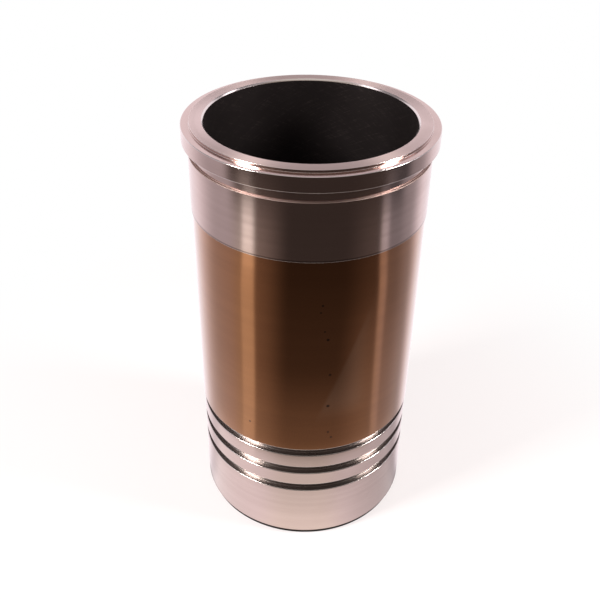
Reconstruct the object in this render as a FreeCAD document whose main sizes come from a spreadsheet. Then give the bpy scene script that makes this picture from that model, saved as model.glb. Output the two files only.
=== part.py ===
import FreeCAD, Part
import math
import os
import Sketcher

# Wet cylinder liner, one turned casting. Millimetres, +Z up, origin at the centre of the foot.
# Every wall and step is measured from the bore, so one size can change on its own.

DOC = FreeCAD.newDocument("cylinder_liner")

# The sizes that drive the part, each written once
SIZES = [
    ("total_height", 304.8),
    ("bore_radius", 68.5),
    ("rim_chamfer", 1.1),
    ("foot_chamfer", 1.6),
    ("fire_wall", 9.15),
    ("fire_rise", 1.8),
    ("fire_edge", 0.25),
    ("flange_step", 5.4),
    ("flange_thick", 10.2),
    ("flange_edge", 0.45),
    ("neck_wall", 9.2),
    ("neck_height", 7.9),
    ("neck_root", 0.8),
    ("belt_step", 1.5),
    ("belt_height", 40.4),
    ("belt_chamfer", 0.6),
    ("barrel_step", 0.8),
    ("low_step", 0.2),
    ("groove_first", 82.3),
    ("groove_width", 6.4),
    ("groove_depth", 3.9),
    ("groove_pitch", 17.5),
    ("groove_root", 0.5),
    ("groove_edge", 0.25),
    ("groove_count", 3),
    ("taper_rise", 4.3),
    ("taper_run", 1.7),
]

# The sizes that follow from them
DERIVED = [
    ("rim_radius", "=bore_radius + rim_chamfer"),
    ("fire_radius", "=bore_radius + fire_wall"),
    ("flange_radius", "=fire_radius + flange_step"),
    ("neck_radius", "=bore_radius + neck_wall"),
    ("belt_radius", "=neck_radius + belt_step"),
    ("barrel_radius", "=neck_radius + barrel_step"),
    ("low_radius", "=neck_radius + low_step"),
    ("taper_radius", "=low_radius - taper_run"),
    ("groove_floor", "=low_radius - groove_depth"),
    ("groove_reach", "=barrel_radius + belt_step"),
    ("groove_top", "=groove_first + groove_width"),
    ("groove_span", "=groove_pitch * (groove_count - 1)"),
    ("flange_top", "=total_height - fire_rise"),
    ("flange_low", "=flange_top - flange_thick"),
    ("belt_top", "=flange_low - neck_height"),
    ("belt_low", "=belt_top - belt_height"),
    ("barrel_low", "=groove_first + groove_width / 2"),
    ("foot", "=0"),
]

# Outline of the turned blank, from the foot up the outside and down the bore
BLANK = [
    ("taper_radius", "foot"),
    ("low_radius", "taper_rise"),
    ("low_radius", "barrel_low"),
    ("barrel_radius", "barrel_low"),
    ("barrel_radius", "belt_low"),
    ("belt_radius", "belt_low"),
    ("belt_radius", "belt_top"),
    ("neck_radius", "belt_top"),
    ("neck_radius", "flange_low"),
    ("flange_radius", "flange_low"),
    ("flange_radius", "flange_top"),
    ("fire_radius", "flange_top"),
    ("fire_radius", "total_height"),
    ("bore_radius", "total_height"),
    ("bore_radius", "foot"),
]

# Outline of the highest seal ring groove
GROOVE = [
    ("groove_floor", "groove_first"),
    ("groove_reach", "groove_first"),
    ("groove_reach", "groove_top"),
    ("groove_floor", "groove_top"),
]


def build_sheet():
    """Write the driving and the derived sizes, one row each."""
    sheet = DOC.addObject("Spreadsheet::Sheet", "Sizes")
    for row, (name, value) in enumerate(SIZES + DERIVED, start=1):
        sheet.set("A%d" % row, name)
        sheet.set("B%d" % row, str(value))
        sheet.setAlias("B%d" % row, name)
    DOC.recompute()
    return sheet


SHEET = build_sheet()


def size(name):
    """Return the present value of one size."""
    return float(getattr(SHEET, name))


def origin_feature(body, role):
    """Return the plane or axis of the body's own origin that has this role."""
    for item in body.Origin.OriginFeatures:
        if item.Role == role:
            return item
    raise ValueError("no origin feature " + role)


def add_profile(body, name, corners):
    """Draw a closed outline on the XZ plane, every corner bound to the sheet."""
    sketch = body.newObject("Sketcher::SketchObject", name)
    sketch.AttachmentSupport = [(origin_feature(body, "XZ_Plane"), "")]
    sketch.MapMode = "FlatFace"
    points = [FreeCAD.Vector(size(radius), size(height), 0) for radius, height in corners]
    count = len(points)
    for index in range(count):
        ahead = points[(index + 1) % count]
        sketch.addGeometry(Part.LineSegment(points[index], ahead), False)
    for index in range(count):
        ahead = (index + 1) % count
        sketch.addConstraint(Sketcher.Constraint("Coincident", index, 2, ahead, 1))
    for index, (radius, height) in enumerate(corners):
        across = Sketcher.Constraint("DistanceX", -1, 1, index, 1, points[index].x)
        place = sketch.addConstraint(across)
        sketch.setExpression("Constraints[%d]" % place, "Sizes." + radius)
        if height == "foot":
            sketch.addConstraint(Sketcher.Constraint("PointOnObject", index, 1, -1))
            continue
        upward = Sketcher.Constraint("DistanceY", -1, 1, index, 1, points[index].y)
        place = sketch.addConstraint(upward)
        sketch.setExpression("Constraints[%d]" % place, "Sizes." + height)
    DOC.recompute()
    return sketch


def turn(body, kind, name, sketch):
    """Turn an outline a full circle about the body's own Z axis."""
    feature = body.newObject(kind, name)
    feature.Profile = sketch
    feature.ReferenceAxis = (origin_feature(body, "Z_Axis"), [""])
    feature.Angle = 360.0
    DOC.recompute()
    body.Tip = feature
    return feature


def ring_edges(shape, rings):
    """Name the circular edges that lie at any of these (radius, height) pairs."""
    found = []
    for number, edge in enumerate(shape.Edges, start=1):
        curve = edge.Curve
        if not isinstance(curve, Part.Circle):
            continue
        for radius, height in rings:
            same_radius = abs(curve.Radius - radius) < 0.01
            if same_radius and abs(curve.Center.z - height) < 0.01:
                found.append("Edge%d" % number)
                break
    if len(found) < len(rings):
        raise ValueError("edges missing at %s" % rings)
    return found


def dress(body, kind, name, rings, alias):
    """Chamfer or fillet the ring edges of the body's tip by a size of the sheet."""
    base = body.Tip
    feature = body.newObject(kind, name)
    feature.Base = (base, ring_edges(base.Shape, rings))
    driven = "Size" if kind == "PartDesign::Chamfer" else "Radius"
    feature.setExpression(driven, "Sizes." + alias)
    DOC.recompute()
    body.Tip = feature
    return feature


def groove_rings(radius, top_radius):
    """Return the rings of all seal grooves, with the highest ring at its own radius."""
    rings = [(top_radius, size("groove_top"))]
    for number in range(int(size("groove_count"))):
        drop = number * size("groove_pitch")
        rings.append((radius, size("groove_first") - drop))
        if number:
            rings.append((radius, size("groove_top") - drop))
    return rings


liner = DOC.addObject("PartDesign::Body", "cylinder_liner")
liner.Label = "cylinder_liner"
liner.Placement = FreeCAD.Placement(FreeCAD.Vector(0, 0, 0), FreeCAD.Rotation(0, 0, 0))
DOC.recompute()

# Turned blank with the flange, neck, belt, barrel and lower belt
blank_outline = add_profile(liner, "BlankOutline", BLANK)
blank = turn(liner, "PartDesign::Revolution", "Blank", blank_outline)
blank_volume = blank.Shape.Volume

# Seal ring grooves in the lower belt
groove_outline = add_profile(liner, "GrooveOutline", GROOVE)
groove = turn(liner, "PartDesign::Groove", "SealGroove", groove_outline)
if blank_volume - groove.Shape.Volume <= 0:
    raise ValueError("the seal groove removed nothing")

grooves = liner.newObject("PartDesign::LinearPattern", "SealGrooves")
grooves.Originals = [groove]
grooves.Direction = (origin_feature(liner, "Z_Axis"), [""])
grooves.Reversed = True
grooves.setExpression("Length", "Sizes.groove_span")
grooves.setExpression("Occurrences", "Sizes.groove_count")
liner.Tip = grooves
DOC.recompute()
removed = blank_volume - grooves.Shape.Volume
ring_area = math.pi * (size("low_radius") ** 2 - size("groove_floor") ** 2)
if removed < 0.999 * ring_area * size("groove_width") * size("groove_count"):
    raise ValueError("the groove pattern is not complete")

dress(
    liner, "PartDesign::Chamfer", "GrooveRoots",
    groove_rings(size("groove_floor"), size("groove_floor")), "groove_root",
)
dress(
    liner, "PartDesign::Chamfer", "GrooveEdges",
    groove_rings(size("low_radius"), size("barrel_radius")), "groove_edge",
)

# Edge breaks and roots of the head end
dress(
    liner, "PartDesign::Chamfer", "RimChamfer",
    [(size("bore_radius"), size("total_height"))], "rim_chamfer",
)
dress(
    liner, "PartDesign::Chamfer", "FireEdge",
    [(size("fire_radius"), size("total_height"))], "fire_edge",
)
flange_rings = [
    (size("flange_radius"), size("flange_top")),
    (size("flange_radius"), size("flange_low")),
]
dress(liner, "PartDesign::Chamfer", "FlangeEdges", flange_rings, "flange_edge")
dress(
    liner, "PartDesign::Fillet", "NeckRoot",
    [(size("neck_radius"), size("flange_low"))], "neck_root",
)
dress(
    liner, "PartDesign::Chamfer", "BeltChamfer",
    [(size("belt_radius"), size("belt_top"))], "belt_chamfer",
)

# Lead-in chamfer of the bore at the foot
dress(
    liner, "PartDesign::Chamfer", "FootChamfer",
    [(size("bore_radius"), size("foot"))], "foot_chamfer",
)

DOC.recompute()
for item in DOC.Objects:
    if "Invalid" in item.State or "Error" in item.State:
        raise ValueError("%s did not recompute" % item.Name)
if liner.Shape.isNull() or not liner.Shape.isValid():
    raise ValueError("the liner has no valid shape")
if len(liner.Shape.Solids) != 1:
    raise ValueError("the liner is not one solid")

os.makedirs("parts", exist_ok=True)
liner.Shape.exportStep("parts/cylinder_liner.step")
print("volume %.1f mm3" % liner.Shape.Volume)
print("box %s" % liner.Shape.BoundBox)
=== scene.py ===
"""Looks of a wet cylinder liner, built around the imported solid.

The liner is one turned piece. It is lathed again here as a fine mesh of the same outline,
then dressed with turned steel, a bronze-toned coating, a honed bore and a faced top.
+Z is up and the origin is the centre of the foot. The camera stands on the side of -Y, and
angles round the axis are counted from there to the right. Lengths are in metres, and those
of the outline in millimetres.
"""

import logging
import math
from dataclasses import dataclass
from enum import Enum
from functools import cached_property, reduce

import bpy
from mathutils import Matrix, Vector

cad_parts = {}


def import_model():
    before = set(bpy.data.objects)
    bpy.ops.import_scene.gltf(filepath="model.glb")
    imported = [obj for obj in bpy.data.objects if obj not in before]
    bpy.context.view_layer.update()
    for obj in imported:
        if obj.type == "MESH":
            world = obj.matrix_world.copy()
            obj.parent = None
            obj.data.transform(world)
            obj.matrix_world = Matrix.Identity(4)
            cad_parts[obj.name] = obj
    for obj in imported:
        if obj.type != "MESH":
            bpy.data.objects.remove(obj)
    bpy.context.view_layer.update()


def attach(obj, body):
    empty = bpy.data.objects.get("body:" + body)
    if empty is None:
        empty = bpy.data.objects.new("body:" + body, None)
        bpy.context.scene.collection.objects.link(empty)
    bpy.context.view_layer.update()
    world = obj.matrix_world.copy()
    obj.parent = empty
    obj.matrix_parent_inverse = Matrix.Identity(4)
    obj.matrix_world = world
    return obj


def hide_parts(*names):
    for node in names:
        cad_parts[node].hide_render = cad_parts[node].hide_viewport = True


LOG = logging.getLogger("cylinder_liner")
MM = 0.001

Colour = tuple[float, float, float]
Socket = bpy.types.NodeSocket
Feed = Socket | float
Ring = tuple[float, float]

WHITE: Colour = (1.0, 1.0, 1.0)
PAPER_WHITE: Colour = (1.0, 0.985, 0.93)

# Radii that the mesh and its finishes share, in millimetres
BORE_RADIUS = 68.5
BARREL_RADIUS = 78.5


class Finish(Enum):
    """The finishes that the liner's surfaces carry, in slot order."""

    TURNED = 0
    FACED = 1
    COATED = 2
    HONED = 3
    GROOVE = 4
    WORN = 5
    EDGE = 6


@dataclass(frozen=True)
class Ramp:
    """One smooth change of a value along another.

    Attributes:
        low, high: where the change starts and ends, in degrees for one round the axis.
        start, end: the value before the change and after it.
    """

    low: float
    high: float
    start: float = 0.0
    end: float = 1.0


@dataclass(frozen=True)
class MetalFinish:
    """Numbers of one metal finish.

    Attributes:
        name: name of the material.
        colour, shade: metal colour, and darker colour of smudges and marks, both linear.
        roughness, roughness_spread: mean roughness, and how far the marks move it.
        anisotropy: stretch of highlights across the tool marks.
        mark_pitch, mark_depth: distance and depth of the tool marks.
        smudge: strength of the smudges in the colour.
        metallic: how far the surface is metal.
        coat, coat_roughness: weight and roughness of a clear coat on top.
    """

    name: str
    colour: Colour
    shade: Colour
    roughness: float
    roughness_spread: float
    anisotropy: float
    mark_pitch: float
    mark_depth: float
    smudge: float
    metallic: float = 1.0
    coat: float = 0.0
    coat_roughness: float = 0.03


def deselect_all() -> None:
    """Leave edit mode and select nothing."""
    if bpy.context.object and bpy.context.object.mode != "OBJECT":
        bpy.ops.object.mode_set(mode="OBJECT")
    bpy.ops.object.select_all(action="DESELECT")


def direction(turn: float, lift: float) -> Vector:
    """Return the direction toward a place round the liner.

    Args:
        turn: degrees to the right of the camera's side, seen from above.
        lift: degrees above the floor.

    Returns:
        The direction, of length 1.
    """
    side, rise = math.radians(turn), math.radians(lift)
    flat = math.cos(rise)
    return Vector((flat * math.sin(side), -flat * math.cos(side), math.sin(rise)))


class NodeSheet:
    """Adds shader nodes to one tree and links them, with short calls."""

    def __init__(self, tree: bpy.types.NodeTree) -> None:
        """Keep the tree that the nodes go into."""
        self.tree = tree

    def add(self, kind: str, **settings: object) -> bpy.types.Node:
        """Add a node.

        Args:
            kind: the node's type, without its leading ShaderNode.
            **settings: attributes set on the node.

        Returns:
            The new node.
        """
        node = self.tree.nodes.new("ShaderNode" + kind)
        for name, value in settings.items():
            setattr(node, name, value)
        return node

    def put(self, node: bpy.types.Node, **inputs: object) -> bpy.types.Node:
        """Feed a node's inputs with numbers or with other nodes' sockets.

        Args:
            node: the node to feed.
            **inputs: input names, with spaces as underscores, or i0, i1 for places.

        Returns:
            The same node.
        """
        for name, value in inputs.items():
            if name[0] == "i" and name[1:].isdigit():
                socket = node.inputs[int(name[1:])]
            else:
                socket = node.inputs[name.replace("_", " ")]
            if isinstance(value, Socket):
                self.tree.links.new(value, socket)
            elif socket.type == "RGBA":
                socket.default_value = (*value, 1.0)
            else:
                socket.default_value = value
        return node

    def group(self, tree: bpy.types.NodeTree, **inputs: object) -> bpy.types.Node:
        """Add a node group and feed its inputs."""
        return self.put(self.add("Group", node_tree=tree), **inputs)

    def maths(self, operation: str, *values: Feed, clamp: bool = False) -> Socket:
        """Add a Math node and return its value.

        Args:
            operation: name of the operation.
            *values: numbers or sockets.
            clamp: whether the result is held between 0 and 1.

        Returns:
            The node's output socket.
        """
        node = self.add("Math", operation=operation, use_clamp=clamp)
        for place, value in enumerate(values):
            self.put(node, **{"i%d" % place: value})
        return node.outputs[0]

    def total(self, *values: Feed) -> Socket:
        """Add values up in their order."""
        return reduce(lambda done, value: self.maths("ADD", done, value), values)

    def product(self, *values: Feed) -> Socket:
        """Multiply values in their order."""
        return reduce(lambda done, value: self.maths("MULTIPLY", done, value), values)

    def distance(self, x: Feed, y: Feed) -> Socket:
        """Return a point's distance from the origin."""
        return self.maths("SQRT", self.total(self.product(x, x), self.product(y, y)))

    def turn_of(self, x: Feed, y: Feed) -> Socket:
        """Return a point's angle from the camera's side, in radians."""
        return self.maths("ARCTAN2", x, self.product(y, -1.0))

    def split(self, vector: Socket) -> tuple[Socket, Socket, Socket]:
        """Return the three parts of a vector."""
        node = self.put(self.add("SeparateXYZ"), i0=vector)
        return node.outputs[0], node.outputs[1], node.outputs[2]

    def object_place(self) -> tuple[Socket, Socket, Socket]:
        """Return x, y and z of the object's own coordinates."""
        return self.split(self.add("TexCoord").outputs["Object"])

    def noise(self, detail: float, roughness: float, scale: float = 1.0,
              **place: object) -> Socket:
        """Add a noise texture.

        Args:
            detail: number of its finer layers.
            roughness: share that each finer layer keeps.
            scale: size factor of the coordinates.
            **place: either Vector, or X, Y and Z.

        Returns:
            The noise's value.
        """
        if "Vector" not in place:
            place = {"Vector": self.put(self.add("CombineXYZ"), **place).outputs[0]}
        node = self.put(self.add("TexNoise"), Scale=scale, Detail=detail,
                        Roughness=roughness, **place)
        return node.outputs[0]

    def ramp(self, value: Socket, ramp: Ramp) -> Socket:
        """Map a value smoothly from one range onto another.

        Args:
            value: socket to map.
            ramp: the change to make.

        Returns:
            The mapped value's socket.
        """
        node = self.add("MapRange", interpolation_type="SMOOTHSTEP")
        self.put(node, i0=value, i1=ramp.low, i2=ramp.high, i3=ramp.start, i4=ramp.end)
        return node.outputs[0]

    def turn_ramp(self, turn: Socket, ramp: Ramp) -> Socket:
        """Map an angle in radians by a ramp whose places are in degrees."""
        low, high = math.radians(ramp.low), math.radians(ramp.high)
        return self.ramp(turn, Ramp(low, high, ramp.start, ramp.end))

    def blend(self, share: Feed, first: Socket | Colour, second: Socket | Colour) -> Socket:
        """Mix two colours by the second one's share."""
        node = self.add("Mix", data_type="RGBA")
        return self.put(node, i0=share, i6=first, i7=second).outputs[2]

    def shade(self, kind: str, colour: Socket | Colour, **inputs: object) -> Socket:
        """Add a simple shader of one colour and return its output."""
        return self.put(self.add(kind), Color=colour, **inputs).outputs[0]

    def mix(self, share: Feed, first: Socket, second: Socket) -> Socket:
        """Mix two shaders by the second one's share."""
        return self.put(self.add("MixShader"), i0=share, i1=first, i2=second).outputs[0]

    def by_ray(self, seen: Socket, mirrored: Socket, other: Socket) -> Socket:
        """Choose a shader by the kind of ray that meets it.

        Args:
            seen: what is seen directly.
            mirrored: what a glossy surface mirrors.
            other: what all other rays meet.

        Returns:
            The mixed shader's socket.
        """
        path = self.add("LightPath")
        indirect = self.mix(path.outputs["Is Glossy Ray"], other, mirrored)
        return self.mix(path.outputs["Is Camera Ray"], indirect, seen)


def clear_tree(owner: bpy.types.Material | bpy.types.World) -> bpy.types.NodeTree:
    """Empty the nodes of a material or world.

    Args:
        owner: the material or world.

    Returns:
        Its node tree.
    """
    owner.use_nodes = True
    owner.node_tree.nodes.clear()
    return owner.node_tree


def new_group(name: str, inputs: dict[str, float], outputs: tuple[str, ...]) -> tuple:
    """Start a shader node group.

    Args:
        name: the group's name.
        inputs: names and first values of its number inputs.
        outputs: names of its number outputs.

    Returns:
        The group, a NodeSheet on it, its input node and its output node.
    """
    group = bpy.data.node_groups.new(name, "ShaderNodeTree")
    for label, value in inputs.items():
        socket = group.interface.new_socket(label, in_out="INPUT", socket_type="NodeSocketFloat")
        socket.default_value = value
    for label in outputs:
        group.interface.new_socket(label, in_out="OUTPUT", socket_type="NodeSocketFloat")
    source = group.nodes.new("NodeGroupInput")
    target = group.nodes.new("NodeGroupOutput")
    return group, NodeSheet(group), source, target


class Effects:
    """Node groups that several of the liner's finishes share."""

    # How fast fine marks and broad bands change round the axis, and bands for each mark
    FINE_ROUND = 9.0
    BROAD_ROUND = 3.0
    BROAD_SHARE = 0.13
    # Scale of the smudges, the noise value where they start and how sharply they set in
    SMUDGE_SCALE = 18.0
    SMUDGE_COVER = 0.55
    SMUDGE_GAIN = 5.0
    # Rise of a hone mark for each metre round the bore, and its change along itself
    HONE_SLOPE = 0.5
    HONE_ALONG = 60.0

    def __init__(self) -> None:
        """Build every group once."""
        self.tool_marks = self._tool_marks()
        self.smudges = self._smudges()
        self.hone_marks = self._hone_marks()

    def _tool_marks(self) -> bpy.types.NodeTree:
        """Fine rings that a lathe leaves, round the axis on walls and faces alike.

        Returns:
            The group.
        """
        group, sheet, source, target = new_group(
            "tool_marks", {"Pitch": 0.0005}, ("Height", "Band"))
        x, y, z = sheet.object_place()
        run = sheet.total(z, sheet.distance(x, y))
        turns = sheet.maths("DIVIDE", run, source.outputs["Pitch"])
        fine = sheet.noise(2.0, 0.6, X=sheet.product(x, self.FINE_ROUND),
                           Y=sheet.product(y, self.FINE_ROUND), Z=turns)
        broad = sheet.noise(2.0, 0.5, X=sheet.product(x, self.BROAD_ROUND),
                            Y=sheet.product(y, self.BROAD_ROUND),
                            Z=sheet.product(turns, self.BROAD_SHARE))
        sheet.put(target, Height=fine, Band=broad)
        return group

    def _smudges(self) -> bpy.types.NodeTree:
        """Soft patches of oil and handling, 0 where clean.

        Returns:
            The group.
        """
        group, sheet, _, target = new_group("smudges", {}, ("Mask",))
        point = sheet.add("TexCoord").outputs["Object"]
        cloud = sheet.noise(4.0, 0.55, scale=self.SMUDGE_SCALE, Vector=point)
        over = sheet.maths("SUBTRACT", cloud, self.SMUDGE_COVER)
        mask = sheet.maths("MULTIPLY", over, self.SMUDGE_GAIN, clamp=True)
        sheet.put(target, Mask=mask)
        return group

    def _hone_marks(self) -> bpy.types.NodeTree:
        """Crossed scratches that climb both ways round the bore.

        Returns:
            The group.
        """
        group, sheet, source, target = new_group("hone_marks", {"Pitch": 0.0008}, ("Height",))
        x, y, z = sheet.object_place()
        round_way = sheet.product(sheet.maths("ARCTAN2", y, x), BORE_RADIUS * MM)
        heights = []
        for slope in (self.HONE_SLOPE, -self.HONE_SLOPE):
            across = sheet.total(z, sheet.product(round_way, slope))
            along = sheet.maths("SUBTRACT", round_way, sheet.product(z, slope))
            heights.append(sheet.noise(
                3.0, 0.65,
                X=sheet.maths("DIVIDE", across, source.outputs["Pitch"]),
                Y=sheet.product(along, self.HONE_ALONG),
                Z=3.0 + slope,
            ))
        sheet.put(target, Height=sheet.product(sheet.total(*heights), 0.5))
        return group


class MetalSheet(NodeSheet):
    """The nodes of one metal material, with its colour as far as it has got."""

    # Share of the slow bands in the roughness, the rest being smudges, and the values of
    # both together between which the roughness changes
    BAND_SHARE = 0.6
    ROUGH_LOW, ROUGH_HIGH = 0.1, 0.8
    # Share of the darker colour by the slow bands
    BAND_SHADE = Ramp(0.3, 0.7, end=0.22)

    def __init__(self, finish: MetalFinish, effects: Effects) -> None:
        """Open a material with its metal shader.

        Args:
            finish: the finish to make.
            effects: the shared node groups.
        """
        self.finish = finish
        self.effects = effects
        self.material = bpy.data.materials.new(finish.name)
        super().__init__(clear_tree(self.material))
        self.shader = self.put(
            self.add("BsdfPrincipled"), Metallic=finish.metallic,
            Anisotropic=finish.anisotropy, Coat_Weight=finish.coat,
            Coat_Roughness=finish.coat_roughness)
        self.put(self.add("OutputMaterial"), Surface=self.shader.outputs[0])
        if finish.anisotropy > 0.0:
            tangent = self.add("Tangent", direction_type="RADIAL", axis="Z")
            self.put(self.shader, Tangent=tangent.outputs[0], Anisotropic_Rotation=0.25)
        self.colour: Socket | Colour = finish.colour

    @cached_property
    def height(self) -> Socket:
        """Height above the foot."""
        return self.object_place()[2]

    @cached_property
    def turn(self) -> Socket:
        """Angle to the right of the camera's side, in radians."""
        x, y, _ = self.object_place()
        return self.turn_of(x, y)

    def mark(self, depth: Socket, band: Socket) -> None:
        """Feed marks and smudges into the roughness, the bump and the colour.

        Args:
            depth: height of the marks.
            band: slow change between marks.
        """
        finish = self.finish
        smudge = self.group(self.effects.smudges).outputs["Mask"]
        mixed = self.total(self.product(band, self.BAND_SHARE),
                           self.product(smudge, 1.0 - self.BAND_SHARE))
        spread = Ramp(self.ROUGH_LOW, self.ROUGH_HIGH,
                      finish.roughness - finish.roughness_spread,
                      finish.roughness + finish.roughness_spread)
        bump = self.put(self.add("Bump"), Strength=1.0, Distance=finish.mark_depth, Height=depth)
        self.put(self.shader, Roughness=self.ramp(mixed, spread), Normal=bump.outputs[0])
        self.cover(self.product(smudge, finish.smudge), finish.shade)
        self.cover(self.ramp(band, self.BAND_SHADE), finish.shade)

    def cover(self, mask: Socket, colour: Colour) -> None:
        """Lay a colour over the colour so far."""
        self.colour = self.blend(mask, self.colour, colour)

    def close(self) -> bpy.types.Material:
        """Feed the colour into the shader and return the material."""
        self.put(self.shader, Base_Color=self.colour)
        return self.material


@dataclass(frozen=True)
class Line:
    """A thin line round the liner.

    Attributes:
        height, half: height of its middle, and half of its width.
        strength, colour: how far it covers what is below, and its linear colour.
    """

    height: float
    half: float
    strength: float
    colour: Colour

    def draw(self, metal: MetalSheet) -> None:
        """Draw the line.

        Args:
            metal: the material to draw it on.
        """
        away = metal.maths("ABSOLUTE", metal.maths("SUBTRACT", metal.height, self.height))
        mask = metal.ramp(away, Ramp(0.6 * self.half, 1.2 * self.half, 1.0, 0.0))
        metal.cover(metal.product(mask, self.strength), self.colour)


@dataclass(frozen=True)
class Smear:
    """A paler wiped patch on the coating, with one slanting side.

    Attributes:
        start, slope: foot of the slanting side, and its turn in radians for each metre up.
        slant, side, top, bottom: soft edges of that side and of the other three.
        strength, colour: how far it covers the coating, and its linear colour.
    """

    start: float = 0.102
    slope: float = 5.1
    slant: Ramp = Ramp(0.0, 0.05)
    side: Ramp = Ramp(0.40, 0.62, 1.0, 0.0)
    top: Ramp = Ramp(0.205, 0.225, 1.0, 0.0)
    bottom: Ramp = Ramp(0.112, 0.136)
    strength: float = 0.6
    colour: Colour = (0.50, 0.29, 0.19)

    def draw(self, metal: MetalSheet) -> None:
        """Wipe the smear across the metal.

        Args:
            metal: the material to draw it on.
        """
        climb = metal.product(metal.maths("SUBTRACT", metal.height, self.start), self.slope)
        slant = metal.maths("SUBTRACT", metal.turn, climb)
        mask = metal.product(
            metal.ramp(slant, self.slant), metal.ramp(metal.turn, self.side),
            metal.ramp(metal.height, self.top), metal.ramp(metal.height, self.bottom))
        metal.cover(metal.product(mask, self.strength), self.colour)


@dataclass(frozen=True)
class Specks:
    """Small dark specks on the coating.

    Attributes:
        places: each speck's degrees to the right of the camera's side, height and radius.
        strength, colour: how far they cover the coating, and their linear colour.
    """

    places: tuple[tuple[float, float, float], ...] = (
        (7.4, 0.2126, 0.0006), (6.6, 0.2073, 0.0005), (10.4, 0.1857, 0.0008),
        (8.8, 0.1923, 0.0005), (12.1, 0.1565, 0.0007), (11.7, 0.1293, 0.0009),
        (12.3, 0.1052, 0.0006), (14.0, 0.1000, 0.0006), (-29.0, 0.1063, 0.0006),
    )
    strength: float = 0.9
    colour: Colour = (0.05, 0.02, 0.015)

    def draw(self, metal: MetalSheet) -> None:
        """Put the specks on the metal.

        Args:
            metal: the material to draw them on.
        """
        mask: Feed = 0.0
        for degrees, height, radius in self.places:
            turned = metal.maths("SUBTRACT", metal.turn, math.radians(degrees))
            gap = metal.distance(metal.product(turned, BARREL_RADIUS * MM),
                                 metal.maths("SUBTRACT", metal.height, height))
            edge = Ramp(0.7 * radius, 1.7 * radius, 1.0, 0.0)
            mask = metal.maths("MAXIMUM", mask, metal.ramp(gap, edge))
        metal.cover(metal.product(mask, self.strength), self.colour)


@dataclass(frozen=True)
class FinishShop:
    """Makes the liner's materials from its finishes and the shared effects.

    Attributes:
        effects: the shared node groups.
        turned, faced, coated, honed, worn, groove, edge_highlight: the finishes, the last a
        paler steel on the rounded edges as a painted highlight.
        belt_shade_line, bare_edge: painted shade in the crease under the belt, and the coating's
            bare edge.
        smear, specks: what lies on the coating.
        scratch, scratch_colour: share by height of the bore's scratches, and their colour.
    """

    effects: Effects
    turned: MetalFinish = MetalFinish(
        "turned_steel", (0.57, 0.43, 0.40), (0.44, 0.32, 0.29), 0.18, 0.03, 0.45,
        0.0006, 0.000004, 0.25)
    faced: MetalFinish = MetalFinish(
        "faced_steel", (0.68, 0.53, 0.50), (0.50, 0.38, 0.345), 0.40, 0.03, 0.85,
        0.0007, 0.000004, 0.3)
    coated: MetalFinish = MetalFinish(
        "bronze_coating", (0.385, 0.163, 0.068), (0.29, 0.114, 0.046), 0.15, 0.02, 0.3,
        0.0007, 0.000002, 0.25, coat=0.7, coat_roughness=0.12)
    # Painted shade: the bore's near-black colour stands for the shade inside the tube; its hone
    # marks and scratches are its own
    honed: MetalFinish = MetalFinish(
        "honed_bore_painted_shade", (0.075, 0.060, 0.060), (0.056, 0.045, 0.045), 0.40, 0.04, 0.0,
        0.0008, 0.000006, 0.1, metallic=0.93)
    worn: MetalFinish = MetalFinish(
        "worn_shoulder", (0.30, 0.22, 0.20), (0.22, 0.16, 0.14), 0.55, 0.05, 0.0,
        0.0006, 0.000004, 0.4)
    # Painted shade: the grooves' steel is darker than the turned steel, for the shade inside
    # them
    groove: MetalFinish = MetalFinish(
        "groove_steel_painted_shade", (0.36, 0.315, 0.30), (0.18, 0.155, 0.145), 0.28, 0.04, 0.6,
        0.0006, 0.000004, 0.5)
    # Painted highlight: paler, more neutral steel on the rounded edges, so that their glints
    # look white
    edge_highlight: MetalFinish = MetalFinish(
        "edge_painted_highlight", (0.72, 0.65, 0.63), (0.58, 0.51, 0.49), 0.20, 0.03, 0.3,
        0.0006, 0.000003, 0.2)

    # Painted shade: a dark line in the crease where the belt meets the coating
    belt_shade_line: Line = Line(0.2452, 0.0007, 0.55, (0.14, 0.09, 0.08))
    bare_edge: Line = Line(0.2443, 0.0004, 1.0, (0.60, 0.48, 0.42))
    smear: Smear = Smear()
    specks: Specks = Specks()
    scratch: Ramp = Ramp(0.52, 0.66, end=0.6)
    scratch_colour: Colour = (0.16, 0.125, 0.12)

    def lathed(self, finish: MetalFinish, *extras: Line | Smear | Specks) -> bpy.types.Material:
        """Make a turned finish.

        Args:
            finish: the finish's numbers.
            *extras: what lies on it, from the lowest up.

        Returns:
            The material.
        """
        metal = MetalSheet(finish, self.effects)
        marks = metal.group(self.effects.tool_marks, Pitch=finish.mark_pitch)
        metal.mark(marks.outputs["Height"], marks.outputs["Band"])
        for extra in extras:
            extra.draw(metal)
        return metal.close()

    def bore(self) -> bpy.types.Material:
        """Make the honed bore, whose near-black colour is painted shade.

        Returns:
            The material.
        """
        metal = MetalSheet(self.honed, self.effects)
        marks = metal.group(self.effects.hone_marks, Pitch=self.honed.mark_pitch)
        depth = marks.outputs["Height"]
        metal.mark(depth, depth)
        metal.cover(metal.ramp(depth, self.scratch), self.scratch_colour)
        return metal.close()

    def materials(self) -> list[bpy.types.Material]:
        """Return one material for each finish, in the order of the slots."""
        return [
            self.lathed(self.turned, self.belt_shade_line),
            self.lathed(self.faced),
            self.lathed(self.coated, self.smear, self.specks, self.bare_edge),
            self.bore(),
            self.lathed(self.groove),
            self.lathed(self.worn),
            self.lathed(self.edge_highlight),
        ]


@dataclass(frozen=True)
class Corner:
    """One corner of the liner's outline, in millimetres.

    Attributes:
        radius, height: distance from the axis, and height above the foot.
        round_by: radius of the corner's own rounding.
    """

    radius: float
    height: float
    round_by: float

    @property
    def place(self) -> Vector:
        """The corner as a point of the outline's plane."""
        return Vector((self.radius, self.height))


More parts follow.
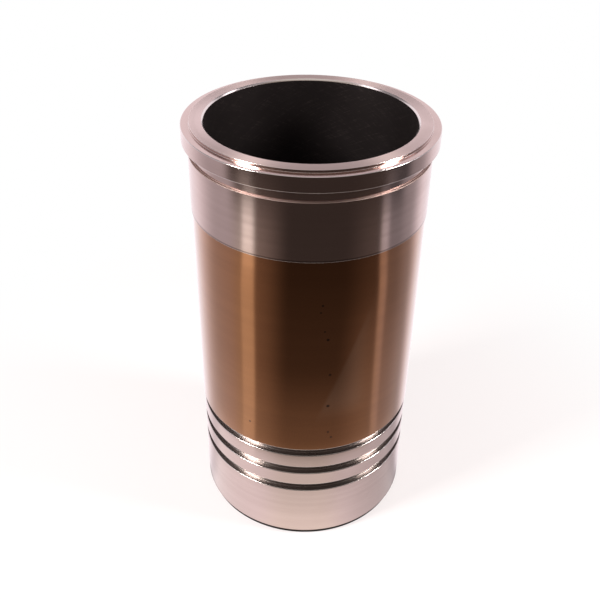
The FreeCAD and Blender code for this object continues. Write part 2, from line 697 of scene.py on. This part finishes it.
@dataclass(frozen=True)
class Liner:
    """The liner itself, in millimetres: one lathed mesh with a finish for each surface.

    Attributes:
        segments: straight steps round the axis.
        bore, fire, flange, neck, belt, barrel, low, taper: radii of the bore, the fire ring,
            the flange, its neck, the upper belt, the barrel, the lower belt and the foot.
        total, flange_top, flange_low, belt_top, belt_low, barrel_low, taper_rise: heights.
        belt_break, rim_chamfer, foot_chamfer: broken edges of the belt and the bore's ends.
        groove_tops, groove_width, groove_depth: places and size of the seal ring grooves.
        lip_round, root_round: roundings of lips and flange, and of the grooves' roots.
        arc_step: turn from one ring of a rounding to the next, in degrees.
        guard_gap: distance of the ring that keeps a wall straight beside a rounding.
        guard_span: shortest wall that gets such rings.
        smooth_angle: edges bent by less than this are shaded smooth, in degrees.
    """

    segments: int = 384
    bore: float = BORE_RADIUS
    fire: float = 77.65
    flange: float = 83.05
    neck: float = 77.7
    belt: float = 79.2
    barrel: float = BARREL_RADIUS
    low: float = 77.9
    taper: float = 76.2
    taper_rise: float = 4.3
    total: float = 304.8
    flange_top: float = 303.0
    flange_low: float = 292.8
    belt_top: float = 284.9
    belt_low: float = 244.5
    barrel_low: float = 88.7
    belt_break: float = 0.3
    rim_chamfer: float = 1.1
    foot_chamfer: float = 1.6
    groove_tops: tuple[float, ...] = (88.7, 71.2, 53.7)
    groove_width: float = 6.4
    groove_depth: float = 3.9
    lip_round: float = 0.45
    root_round: float = 0.5
    arc_step: float = 22.0
    guard_gap: float = 0.12
    guard_span: float = 2.4
    smooth_angle: float = 28.0

    # Margins that tell the surfaces apart, and limits of a face normal's vertical part
    bore_gap: float = 0.05
    top_gap: float = 0.2
    top_slope: float = 0.9
    coat_low: float = 0.5
    coat_gap: float = 0.2
    worn_gap: float = 0.7
    worn_slope: float = 0.2
    groove_gap: float = 0.02
    groove_lip: float = 0.5
    edge_low: float = 5.0
    edge_slopes: tuple[float, float] = (0.12, 0.99)

    def outline(self) -> list[Corner]:
        """Draw the closed outline, up the outside and down the bore.

        Returns:
            Its corners.
        """
        floor = self.low - self.groove_depth
        corners = [
            Corner(self.bore + self.foot_chamfer, 0.0, 0.1),
            Corner(self.taper, 0.0, 0.15),
            Corner(self.low, self.taper_rise, 0.3),
        ]
        for top in reversed(self.groove_tops):
            bottom = top - self.groove_width
            lip = self.barrel if top == self.barrel_low else self.low
            corners += [
                Corner(self.low, bottom, self.lip_round),
                Corner(floor, bottom, self.root_round),
                Corner(floor, top, self.root_round),
                Corner(lip, top, self.lip_round),
            ]
        corners += [
            Corner(self.barrel, self.belt_low, 0.1),
            Corner(self.belt, self.belt_low, 0.2),
            Corner(self.belt, self.belt_top - self.belt_break, 0.1),
            Corner(self.belt - self.belt_break, self.belt_top, 0.1),
            Corner(self.neck, self.belt_top, 0.25),
            Corner(self.neck, self.flange_low, 0.8),
            Corner(self.flange, self.flange_low, self.lip_round),
            Corner(self.flange, self.flange_top, self.lip_round),
            Corner(self.fire, self.flange_top, 0.2),
            Corner(self.fire, self.total, 0.25),
            Corner(self.bore + self.rim_chamfer, self.total, 0.12),
            Corner(self.bore, self.total - self.rim_chamfer, 0.15),
            Corner(self.bore, self.foot_chamfer, 0.15),
        ]
        return corners

    def rounding(self, before: Corner, corner: Corner, after: Corner) -> list[Ring]:
        """Round one corner, with a guard ring on each of its long walls.

        Args:
            before: the corner before it.
            corner: the corner to round.
            after: the corner after it.

        Returns:
            Radius and height of each ring.
        """
        here = corner.place
        to_before, to_after = before.place - here, after.place - here
        back, ahead = to_before.normalized(), to_after.normalized()
        half = 0.5 * math.acos(max(-1.0, min(1.0, back.dot(ahead))))
        reach = corner.round_by / math.tan(half)
        middle = here + (back + ahead).normalized() * (corner.round_by / math.sin(half))
        start = here + back * reach - middle
        sweep = math.pi - 2.0 * half
        turn = 1.0 if back.cross(ahead) < 0.0 else -1.0
        steps = max(2, round(math.degrees(sweep) / self.arc_step))
        rings: list[Ring] = []
        if to_before.length > self.guard_span:
            rings.append(tuple(here + back * (reach + self.guard_gap)))
        for step in range(steps + 1):
            angle = turn * sweep * step / steps
            cosine, sine = math.cos(angle), math.sin(angle)
            rings.append((middle.x + cosine * start.x - sine * start.y,
                          middle.y + sine * start.x + cosine * start.y))
        if to_after.length > self.guard_span:
            rings.append(tuple(here + ahead * (reach + self.guard_gap)))
        return rings

    def rings(self) -> list[Ring]:
        """Round the whole outline.

        Returns:
            Radius and height of every ring of the mesh, in metres.
        """
        corners = self.outline()
        found: list[Ring] = []
        for before, corner, after in zip(corners[-1:] + corners, corners,
                                         corners[1:] + corners[:1]):
            for radius, height in self.rounding(before, corner, after):
                found.append((radius * MM, height * MM))
        return found

    def lathe(self) -> bpy.types.Object:
        """Model the liner ring by ring from a circle at the foot, and close it.

        Returns:
            The finished object, still without a material.
        """
        rings = self.rings()
        deselect_all()
        radius, height = rings[0]
        bpy.ops.mesh.primitive_circle_add(
            vertices=self.segments, radius=radius, location=(0.0, 0.0, height))
        piece = bpy.context.object
        piece.name = "liner"
        bpy.ops.object.transform_apply(location=True, rotation=True, scale=True)
        bpy.ops.object.mode_set(mode="EDIT")
        bpy.ops.mesh.select_mode(type="EDGE")
        bpy.ops.mesh.select_all(action="SELECT")
        for next_radius, next_height in rings[1:] + rings[:1]:
            bpy.ops.mesh.extrude_edges_move(
                TRANSFORM_OT_translate={"value": (0.0, 0.0, next_height - height)})
            factor = next_radius / radius
            bpy.ops.transform.resize(
                value=(factor, factor, 1.0), center_override=(0.0, 0.0, next_height))
            radius, height = next_radius, next_height
        bpy.ops.mesh.select_all(action="SELECT")
        bpy.ops.mesh.remove_doubles(threshold=1e-6)
        bpy.ops.mesh.normals_make_consistent(inside=False)
        bpy.ops.object.mode_set(mode="OBJECT")
        bpy.ops.object.shade_smooth_by_angle(angle=math.radians(self.smooth_angle))
        return piece

    def finish_of(self, radius: float, height: float, upward: float) -> Finish:
        """Say which finish a face carries.

        Args:
            radius: distance of the face from the axis.
            height: height of the face.
            upward: vertical part of the face's normal.

        Returns:
            The face's finish.
        """
        if radius < self.bore + self.bore_gap:
            return Finish.HONED
        if height > self.total - self.top_gap and upward > self.top_slope:
            return Finish.FACED
        on_barrel = self.barrel_low + self.coat_low < height < self.belt_low
        if on_barrel and radius > self.low + self.coat_gap:
            return Finish.COATED
        if abs(height - self.belt_top) < self.worn_gap and upward > self.worn_slope:
            return Finish.WORN
        for top in self.groove_tops:
            bottom = top - self.groove_width
            inside = bottom - self.groove_gap < height < top + self.groove_gap
            if inside and radius < self.low - self.groove_lip:
                return Finish.GROOVE
        least, most = self.edge_slopes
        if height > self.edge_low and least < abs(upward) < most:
            return Finish.EDGE
        return Finish.TURNED

    def dress(self, piece: bpy.types.Object, shop: FinishShop) -> None:
        """Give every face of the liner its finish.

        Args:
            piece: the lathed object.
            shop: maker of the materials.
        """
        for material in shop.materials():
            piece.data.materials.append(material)
        for face in piece.data.polygons:
            centre = face.center
            radius = math.hypot(centre.x, centre.y) / MM
            finish = self.finish_of(radius, centre.z / MM, face.normal.z)
            face.material_index = finish.value

    def build(self, shop: FinishShop) -> None:
        """Lathe, dress and attach the liner.

        Args:
            shop: maker of the materials.
        """
        piece = self.lathe()
        self.dress(piece, shop)
        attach(piece, "root")
        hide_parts("cylinder_liner")
        LOG.info("liner: %d faces", len(piece.data.polygons))


@dataclass(frozen=True)
class Room:
    """The room that the metal mirrors, by the angle from the camera's side.

    Attributes:
        sheet: the node sheet to build in.
        dark: brightness on the camera's side.
        left, right: changes of the brightness toward each side.
        warm, whiter: colour where it is dark, and share of the bright one by the brightness.
        side_colour, aside: colour at the sides, and its share by the angle to either side.
    """

    sheet: NodeSheet
    dark: float = 0.05
    left: tuple[Ramp, ...] = (
        Ramp(16.0, 50.0, end=0.24), Ramp(50.5, 57.0, end=1.30),
        Ramp(64.0, 68.5, end=-0.97), Ramp(98.0, 140.0, end=0.60),
    )
    right: tuple[Ramp, ...] = (
        Ramp(34.0, 68.0, end=0.07), Ramp(72.0, 76.5, end=0.57),
        Ramp(81.0, 86.0, end=-0.38), Ramp(94.0, 114.0, end=0.14),
        Ramp(112.0, 140.0, end=0.72),
    )
    warm: Colour = (1.0, 0.79, 0.68)
    whiter: Ramp = Ramp(0.04, 0.9)
    aside: Ramp = Ramp(66.0, 84.0)
    side_colour: Colour = (1.0, 0.935, 0.985)

    def light(self, turn: Socket) -> Socket:
        """Say how bright the room is round the liner, darkest where the camera stands.

        Args:
            turn: angle to the right of the camera's side, in radians.

        Returns:
            The brightness socket.
        """
        level: Feed = self.dark
        for sign, strips in ((-1.0, self.left), (1.0, self.right)):
            side = self.sheet.product(turn, sign)
            for strip in strips:
                level = self.sheet.total(level, self.sheet.turn_ramp(side, strip))
        return level

    def colour(self, level: Socket, turn: Socket, bright: Socket | Colour) -> Socket:
        """Tint the room: warm where it is dark, whiter where it is bright.

        Args:
            level: the brightness.
            turn: angle to the right of the camera's side, in radians.
            bright: colour of the brightest places.

        Returns:
            The colour socket.
        """
        sheet = self.sheet
        front = sheet.blend(sheet.ramp(level, self.whiter), self.warm, bright)
        aside = sheet.turn_ramp(sheet.maths("ABSOLUTE", turn), self.aside)
        return sheet.blend(aside, front, self.side_colour)


@dataclass(frozen=True)
class Backdrop:
    """The surroundings: white to the camera, and the room to the metal.

    Attributes:
        behind: dip in the brightness right behind the liner.
        ceiling, ceiling_light: the ceiling by the direction's vertical part, its brightness.
        zenith: what the middle of the ceiling adds to it.
        panels, panel_light: turn and lift of each bright panel, and their brightness.
        panel_edge: angles from its middle between which a panel's light sets in.
        soft_light: brightness for all that isn't seen or mirrored.
    """

    behind: Ramp = Ramp(174.0, 179.0, end=-0.26)
    ceiling: Ramp = Ramp(0.42, 0.55)
    ceiling_light: float = 0.26
    zenith: Ramp = Ramp(0.80, 0.98, end=0.55)
    panels: tuple[tuple[float, float], ...] = ((114.0, 37.0), (-89.0, 52.0))
    panel_light: float = 2.4
    panel_edge: tuple[float, float] = (9.0, 6.0)
    soft_light: float = 0.6

    def build(self) -> None:
        """Make the world."""
        world = bpy.data.worlds.new("studio_room")
        bpy.context.scene.world = world
        sheet = NodeSheet(clear_tree(world))
        room = Room(sheet)
        way = sheet.add("TexCoord").outputs["Generated"]
        x, y, up = sheet.split(way)
        turn = sheet.turn_of(x, y)
        behind = sheet.turn_ramp(sheet.maths("ABSOLUTE", turn), self.behind)
        ceiling = sheet.ramp(up, self.ceiling)
        walls = sheet.product(sheet.total(room.light(turn), behind),
                              sheet.maths("SUBTRACT", 1.0, ceiling))
        lit = sheet.total(walls, sheet.product(ceiling, self.ceiling_light),
                          sheet.ramp(up, self.zenith))
        outer, inner = (math.cos(math.radians(angle)) for angle in self.panel_edge)
        for middle in self.panels:
            facing = sheet.put(sheet.add("VectorMath", operation="DOT_PRODUCT"),
                               i0=way, i1=direction(*middle)).outputs["Value"]
            panel = sheet.ramp(facing, Ramp(outer, inner, end=self.panel_light))
            lit = sheet.total(lit, panel)
        colour = room.colour(lit, turn, PAPER_WHITE)
        surface = sheet.by_ray(
            seen=sheet.shade("Background", WHITE, Strength=1.0),
            mirrored=sheet.shade("Background", colour, Strength=lit),
            other=sheet.shade("Background", WHITE, Strength=self.soft_light))
        sheet.put(sheet.add("OutputWorld"), Surface=surface)


@dataclass
class FloorMirror:
    """What the metal mirrors of the floor: white paper near it, the room's strips farther off.

    Far stands for a place's distance from the axis, and way for the angle of the mirrored
    ray, to the right of the camera's side.

    Attributes:
        sheet: the node sheet to build in.
        turn, far: angle of a place round the axis in radians, and its distance.
        wall, wall_share: radius of the mirroring wall, and share of a place's angle at
            which the wall mirrors it.
        stretch: scale of the way, by far.
        end, end_left, end_right: share of the strips left by far, and where they end by way.
        cap, cap_aside: greatest brightness of the strips, by far and by way.
        side_base, side_left, side_right, side_reach: share of the strips that stays under the
            glow at the sides, that glow on either side by way, and its share by far.
        paper, paper_front: share of the paper, by far and by way.
        paper_left, paper_right: brightness of the paper by way, dimmer to the right for the
            liner's painted shadow.
        ahead, close: share by way of a change next to the foot, and that change by far.
        foot: brightness at the foot, a painted contact shadow, and under it, by far.
        paper_aside, paper_side_colour: share by way of the paper's side colour, that colour.
        far_white, near_bright: share of white in bright strips by far, their near colour.
    """

    sheet: NodeSheet
    turn: Socket
    far: Socket
    wall: float = 0.078
    wall_share: float = 0.56
    stretch: Ramp = Ramp(0.38, 0.52, 0.97, 1.02)
    end: Ramp = Ramp(0.575, 0.62, 1.0, 0.03)
    end_left: Ramp = Ramp(-84.0, -71.0)
    end_right: Ramp = Ramp(92.0, 104.0, 1.0, 0.0)
    cap: Ramp = Ramp(0.40, 0.50, 0.98, 1.60)
    cap_aside: Ramp = Ramp(98.0, 118.0)
    side_base: float = 0.7
    side_left: Ramp = Ramp(-55.0, -10.0, 0.10, 0.0)
    side_right: Ramp = Ramp(22.0, 72.0, end=0.20)
    side_reach: Ramp = Ramp(0.24, 0.46, 1.0, 0.0)
    paper: tuple[Ramp, ...] = (
        Ramp(0.138, 0.176, 1.0, 0.21), Ramp(0.190, 0.280, end=-0.17),
        Ramp(0.280, 0.480, end=-0.04),
    )
    paper_front: Ramp = Ramp(100.0, 125.0, 1.0, 0.0)
    paper_left: Ramp = Ramp(-62.0, -10.0, 1.25, 1.06)
    # Painted shadow: the mirrored paper dims toward the right, where the liner's shadow lies
    paper_right: Ramp = Ramp(20.0, 95.0, end=-0.30)
    ahead: Ramp = Ramp(18.0, 62.0, 1.0, 0.0)
    close: Ramp = Ramp(0.080, 0.118, 0.22, -0.05)
    # Painted contact shadow: the mirrored floor goes dark right at the foot
    foot: tuple[Ramp, ...] = (
        Ramp(0.0768, 0.0808, 0.02, 1.0), Ramp(0.066, 0.0685, 0.30, 0.0),
    )
    paper_aside: Ramp = Ramp(15.0, 48.0)
    paper_side_colour: Colour = (1.0, 0.975, 1.0)
    far_white: Ramp = Ramp(0.42, 0.50)
    near_bright: Colour = (1.0, 0.93, 0.80)

    def __post_init__(self) -> None:
        """Find the way of the ray that the liner's wall mirrors onto each place."""
        sheet = self.sheet
        self.room = Room(sheet)
        across = sheet.maths("SINE", sheet.product(self.turn, self.wall_share))
        lean = sheet.maths("DIVIDE", sheet.product(across, self.wall), self.far)
        way = sheet.total(self.turn, sheet.maths("ARCSINE", lean))
        self.way = sheet.product(way, sheet.ramp(self.far, self.stretch))
        self.aside = sheet.maths("ABSOLUTE", self.way)

    def by_far(self, *changes: Ramp) -> Socket:
        """Return the sum of changes by the distance."""
        return self.sheet.total(*[self.sheet.ramp(self.far, change) for change in changes])

    def by_way(self, *changes: Ramp) -> Socket:
        """Return the sum of changes by the way."""
        return self.sheet.total(*[self.sheet.turn_ramp(self.way, change) for change in changes])

    def by_aside(self, change: Ramp) -> Socket:
        """Return a change by the way to either side."""
        return self.sheet.turn_ramp(self.aside, change)

    def strip_light(self) -> Socket:
        """Carry the room's strips across the floor.

        Returns:
            The brightness socket.
        """
        sheet = self.sheet
        cap = sheet.total(self.by_far(self.cap), self.by_aside(self.cap_aside))
        strips = sheet.maths("MINIMUM", self.room.light(self.way), cap)
        glow = sheet.product(self.by_way(self.side_right, self.side_left),
                             self.by_far(self.side_reach))
        base = sheet.product(strips, self.side_base)
        strips = sheet.maths("MAXIMUM", strips, sheet.total(base, glow))
        past = sheet.maths("SUBTRACT", 1.0, self.by_far(self.end))
        lost = sheet.product(sheet.maths("SUBTRACT", strips, self.room.dark), past,
                             self.by_way(self.end_left), self.by_way(self.end_right))
        return sheet.maths("SUBTRACT", strips, lost)

    def paper_light(self) -> Socket:
        """Say how bright the paper next to the liner is.

        Returns:
            The brightness socket.
        """
        light = self.by_way(self.paper_left, self.paper_right)
        close = self.sheet.product(self.by_aside(self.ahead), self.by_far(self.close))
        return self.sheet.product(light, self.sheet.total(close, 1.0))

    def shader(self) -> Socket:
        """Make the shader that the metal sees.

        Returns:
            The shader's socket.
        """
        sheet = self.sheet
        strips = self.strip_light()
        share = sheet.product(self.by_far(*self.paper), self.by_aside(self.paper_front))
        over = sheet.maths("SUBTRACT", self.paper_light(), strips)
        lit = sheet.product(sheet.total(strips, sheet.product(over, share)),
                            self.by_far(*self.foot))
        white = sheet.blend(self.by_aside(self.paper_aside), PAPER_WHITE, self.paper_side_colour)
        bright = sheet.blend(self.by_far(self.far_white), self.near_bright, PAPER_WHITE)
        colour = sheet.blend(share, self.room.colour(lit, self.way, bright), white)
        return sheet.shade("Emission", colour, Strength=lit)


@dataclass(frozen=True)
class Floor:
    """The pale floor, which takes the liner's soft shadow.

    Attributes:
        size, level: width of the floor, and its height just below the foot.
        pale: colour of the floor for all light but mirrored light.
        shade, shadow_tint: share of white in its glow by the distance, and its colour at the
            foot, a painted pink tint for the shadow.
        glow: share of glow in the seen floor, by the distance.
    """

    size: float = 8.0
    level: float = -0.0002
    pale: Colour = (0.9, 0.9, 0.9)
    shade: Ramp = Ramp(0.16, 0.42)
    # Painted shade colour: the glow is pinkish near the foot, which shows only where the shadow
    # falls
    shadow_tint: Colour = (0.93, 0.86, 0.86)
    glow: Ramp = Ramp(0.16, 0.42, 0.64, 1.0)

    def build(self) -> None:
        """Lay the floor and keep it out of the part."""
        deselect_all()
        bpy.ops.mesh.primitive_plane_add(size=self.size, location=(0.0, 0.0, self.level))
        floor = bpy.context.object
        floor.name = "floor"
        material = bpy.data.materials.new("pale_floor")
        sheet = NodeSheet(clear_tree(material))
        x, y, _ = sheet.split(sheet.add("NewGeometry").outputs["Position"])
        turn, far = sheet.turn_of(x, y), sheet.distance(x, y)
        matt = sheet.shade("BsdfDiffuse", self.pale)
        tint = sheet.blend(sheet.ramp(far, self.shade), self.shadow_tint, WHITE)
        glow = sheet.shade("Emission", tint, Strength=1.0)
        surface = sheet.by_ray(
            seen=sheet.mix(sheet.ramp(far, self.glow), matt, glow),
            mirrored=FloorMirror(sheet, turn, far).shader(),
            other=matt)
        sheet.put(sheet.add("OutputMaterial"), Surface=surface)
        floor.data.materials.append(material)


@dataclass(frozen=True)
class SoftBox:
    """A soft box that looks at the liner's middle.

    Attributes:
        name: the lamp's name.
        turn, lift: degrees to the right of the camera's side, and above the floor.
        wide, tall, power: its width and height, and its power in watts.
        distance, aim: distance from the liner's middle, and that middle's height.
        colour: light colour, linear.
    """

    name: str
    turn: float
    lift: float
    wide: float
    tall: float
    power: float
    distance: float = 1.4
    aim: float = 0.16
    colour: Colour = (1.0, 0.98, 0.95)

    def build(self) -> None:
        """Hang the lamp."""
        data = bpy.data.lights.new(self.name, "AREA")
        data.shape = "RECTANGLE"
        data.size = self.wide
        data.size_y = self.tall
        data.energy = self.power
        data.color = self.colour
        lamp = bpy.data.objects.new(self.name, data)
        bpy.context.scene.collection.objects.link(lamp)
        out = direction(self.turn, self.lift) * self.distance
        place = out + Vector((0.0, 0.0, self.aim))
        facing = (-out).to_track_quat("-Z", "Y")
        lamp.matrix_world = Matrix.Translation(place) @ facing.to_matrix().to_4x4()


@dataclass(frozen=True)
class Studio:
    """Pale floor, plain white surroundings and soft lamps.

    Attributes:
        lamps: the soft boxes left and right.
    """

    lamps: tuple[SoftBox, ...] = (
        SoftBox("soft_box_left", -61.0, 36.0, 0.34, 0.50, 22.0),
        SoftBox("soft_box_right", 79.0, 32.0, 0.34, 0.44, 17.0),
    )

    def build(self) -> None:
        """Build the whole studio."""
        Backdrop().build()
        Floor().build()
        for lamp in self.lamps:
            lamp.build()
        LOG.info("studio: floor, room and %d lamps", len(self.lamps))


@dataclass(frozen=True)
class Viewpoint:
    """The camera, placed at the photograph's viewing angle.

    Attributes:
        eye: camera place.
        pitch, yaw, roll: degrees below the horizon, to the right and of tilt.
        sensor, lens: width of the sensor and focal length, in millimetres.
        nearest: distance before which nothing is seen.
    """

    eye: tuple[float, float, float] = (0.0, -0.50413, 0.50960)
    pitch: float = 34.49
    yaw: float = -0.57
    roll: float = 0.98
    sensor: float = 36.0
    lens: float = 50.166
    nearest: float = 0.01

    def build(self) -> None:
        """Create the camera and make it the scene's own."""
        data = bpy.data.cameras.new("photo_camera")
        data.sensor_fit = "HORIZONTAL"
        data.sensor_width = self.sensor
        data.lens = self.lens
        data.clip_start = self.nearest
        camera = bpy.data.objects.new("photo_camera", data)
        bpy.context.scene.collection.objects.link(camera)
        pitch, yaw, roll = (math.radians(value) for value in (self.pitch, self.yaw, self.roll))
        ahead = Vector((math.sin(yaw) * math.cos(pitch), math.cos(yaw) * math.cos(pitch),
                        -math.sin(pitch)))
        level = Vector((math.cos(yaw), -math.sin(yaw), 0.0))
        upright = level.cross(ahead)
        right = level * math.cos(roll) + upright * math.sin(roll)
        up = upright * math.cos(roll) - level * math.sin(roll)
        turn = Matrix((right, up, -ahead)).transposed().to_4x4()
        camera.matrix_world = Matrix.Translation(Vector(self.eye)) @ turn
        bpy.context.scene.camera = camera
        LOG.info("camera: lens %.1f mm", self.lens)


def main() -> None:
    """Build the liner, the studio and the camera."""
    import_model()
    bpy.context.scene.view_settings.view_transform = "Standard"
    shop = FinishShop(Effects())
    Liner().build(shop)
    Studio().build()
    Viewpoint().build()


if __name__ == "__main__":
    logging.basicConfig(level=logging.INFO)
    main()
